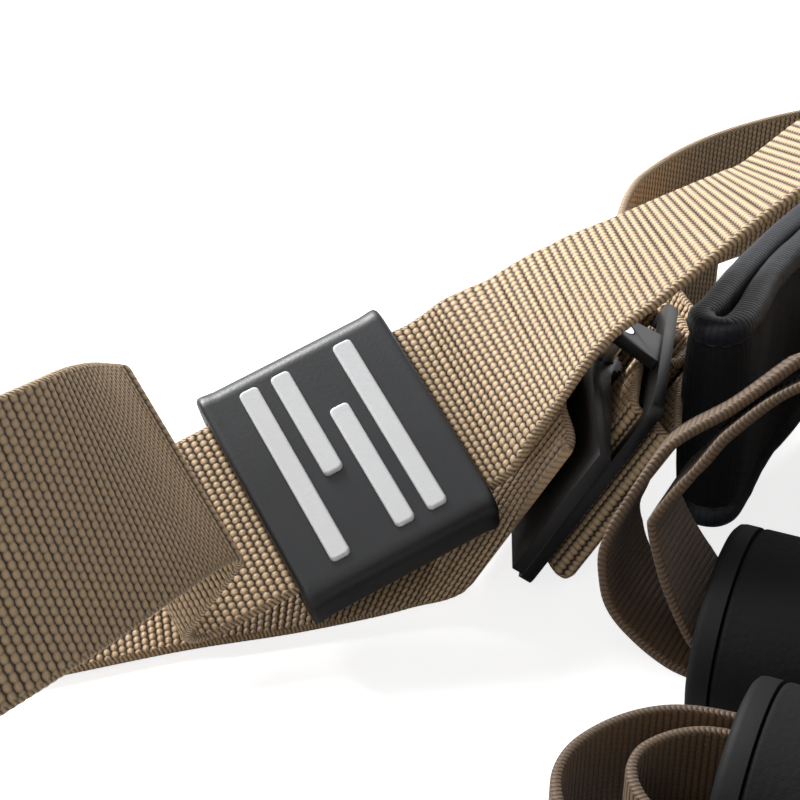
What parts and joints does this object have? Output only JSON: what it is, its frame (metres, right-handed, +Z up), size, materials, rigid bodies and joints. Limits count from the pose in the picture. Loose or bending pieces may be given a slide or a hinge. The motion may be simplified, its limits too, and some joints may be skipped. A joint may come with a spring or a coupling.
{
  "type": "suspension trainer",
  "caption": "Webbing suspension trainer lying folded, with anchor strap, carabiners, cam buckles, rubber keeper, handle grips and padded foot cradles.",
  "frame": {"origin": "middle of the footprint, on the surface that the trainer lies on", "axes": "+X from the anchor side towards the handles, +Y away from the viewer, +Z up"},
  "size_m": [0.738, 0.5962, 0.094],
  "materials": {
    "webbing": "basket weave",
    "handle_webbing": "herringbone weave",
    "black_webbing": "plain weave",
    "pad": "soft cover",
    "rubber": "satin",
    "foam": "matt foam",
    "buckle": "black powder coat",
    "steel": "satin"
  },
  "bodies": {
    "trainer": {"anchor_carabiner_body": "steel", "anchor_carabiner_gate_pin": "steel", "anchor_strap": "black_webbing", "equalizer_loop": "black_webbing", "main_carabiner_body": "steel", "main_carabiner_gate_pin": "steel", "left_upper_strap": "webbing", "left_buckle_frame": "buckle", "left_buckle_axle": "steel", "left_buckle_spring": "steel", "left_adjusting_strap": "webbing", "left_end_cover": "black_webbing", "left_handle_strap": "handle_webbing", "left_cradle_strap": "handle_webbing", "left_padded_sleeve": "pad", "right_upper_strap": "webbing", "right_buckle_frame": "buckle", "right_buckle_axle": "steel", "right_buckle_spring": "steel", "right_adjusting_strap": "webbing", "right_end_cover": "black_webbing", "right_handle_strap": "handle_webbing", "right_cradle_strap": "handle_webbing", "right_padded_sleeve": "pad"},
    "keeper": {"rubber_keeper": "rubber"},
    "main_gate": {"main_carabiner_gate": "steel"},
    "anchor_gate": {"anchor_carabiner_gate": "steel"},
    "left_lever": {"left_cam_lever": "buckle"},
    "right_lever": {"right_cam_lever": "buckle"},
    "left_grip": {"left_grip_cover": "foam", "left_grip_core": "rubber", "left_grip_left_cap": "rubber", "left_grip_right_cap": "rubber"},
    "right_grip": {"right_grip_cover": "foam", "right_grip_core": "rubber", "right_grip_left_cap": "rubber", "right_grip_right_cap": "rubber"}
  },
  "joints": [
    {"name": "keeper_slide", "type": "slide", "parent": "trainer", "child": "keeper", "axis": [0.8769, 0.3596, 0.319], "range_m": [-0.005, 0]},
    {"name": "main_gate_hinge", "type": "hinge", "parent": "trainer", "child": "main_gate", "pos_m": [-0.31913, -0.01543, 0.00751], "axis": [0, 0, -1], "range_deg": [0, 24], "stiffness_Nm_per_rad": 0.3, "springref_deg": -11.46},
    {"name": "anchor_gate_hinge", "type": "hinge", "parent": "trainer", "child": "anchor_gate", "pos_m": [-0.31213, 0.26621, 0.00741], "axis": [0, -0.0297, -0.9996], "range_deg": [0, 24], "stiffness_Nm_per_rad": 0.3, "springref_deg": -11.46},
    {"name": "left_lever_hinge", "type": "hinge", "parent": "trainer", "child": "left_lever", "pos_m": [0.22383, -0.07964, 0.01731], "axis": [-0.2504, -0.9681, 0], "range_deg": [0, 4.5], "stiffness_Nm_per_rad": 1, "springref_deg": -2.86},
    {"name": "right_lever_hinge", "type": "hinge", "parent": "trainer", "child": "right_lever", "pos_m": [-0.00966, -0.03785, 0.02523], "axis": [0.4751, -0.0967, 0.8746], "range_deg": [0, 4.5], "stiffness_Nm_per_rad": 1, "springref_deg": -2.86},
    {"name": "left_grip_spin", "type": "hinge", "parent": "trainer", "child": "left_grip", "pos_m": [0.06756, -0.12229, 0.01801], "axis": [0.907, -0.421, 0], "continuous": true},
    {"name": "right_grip_spin", "type": "hinge", "parent": "trainer", "child": "right_grip", "pos_m": [0.06356, -0.16229, 0.01801], "axis": [0.907, -0.421, 0], "continuous": true}
  ]
}
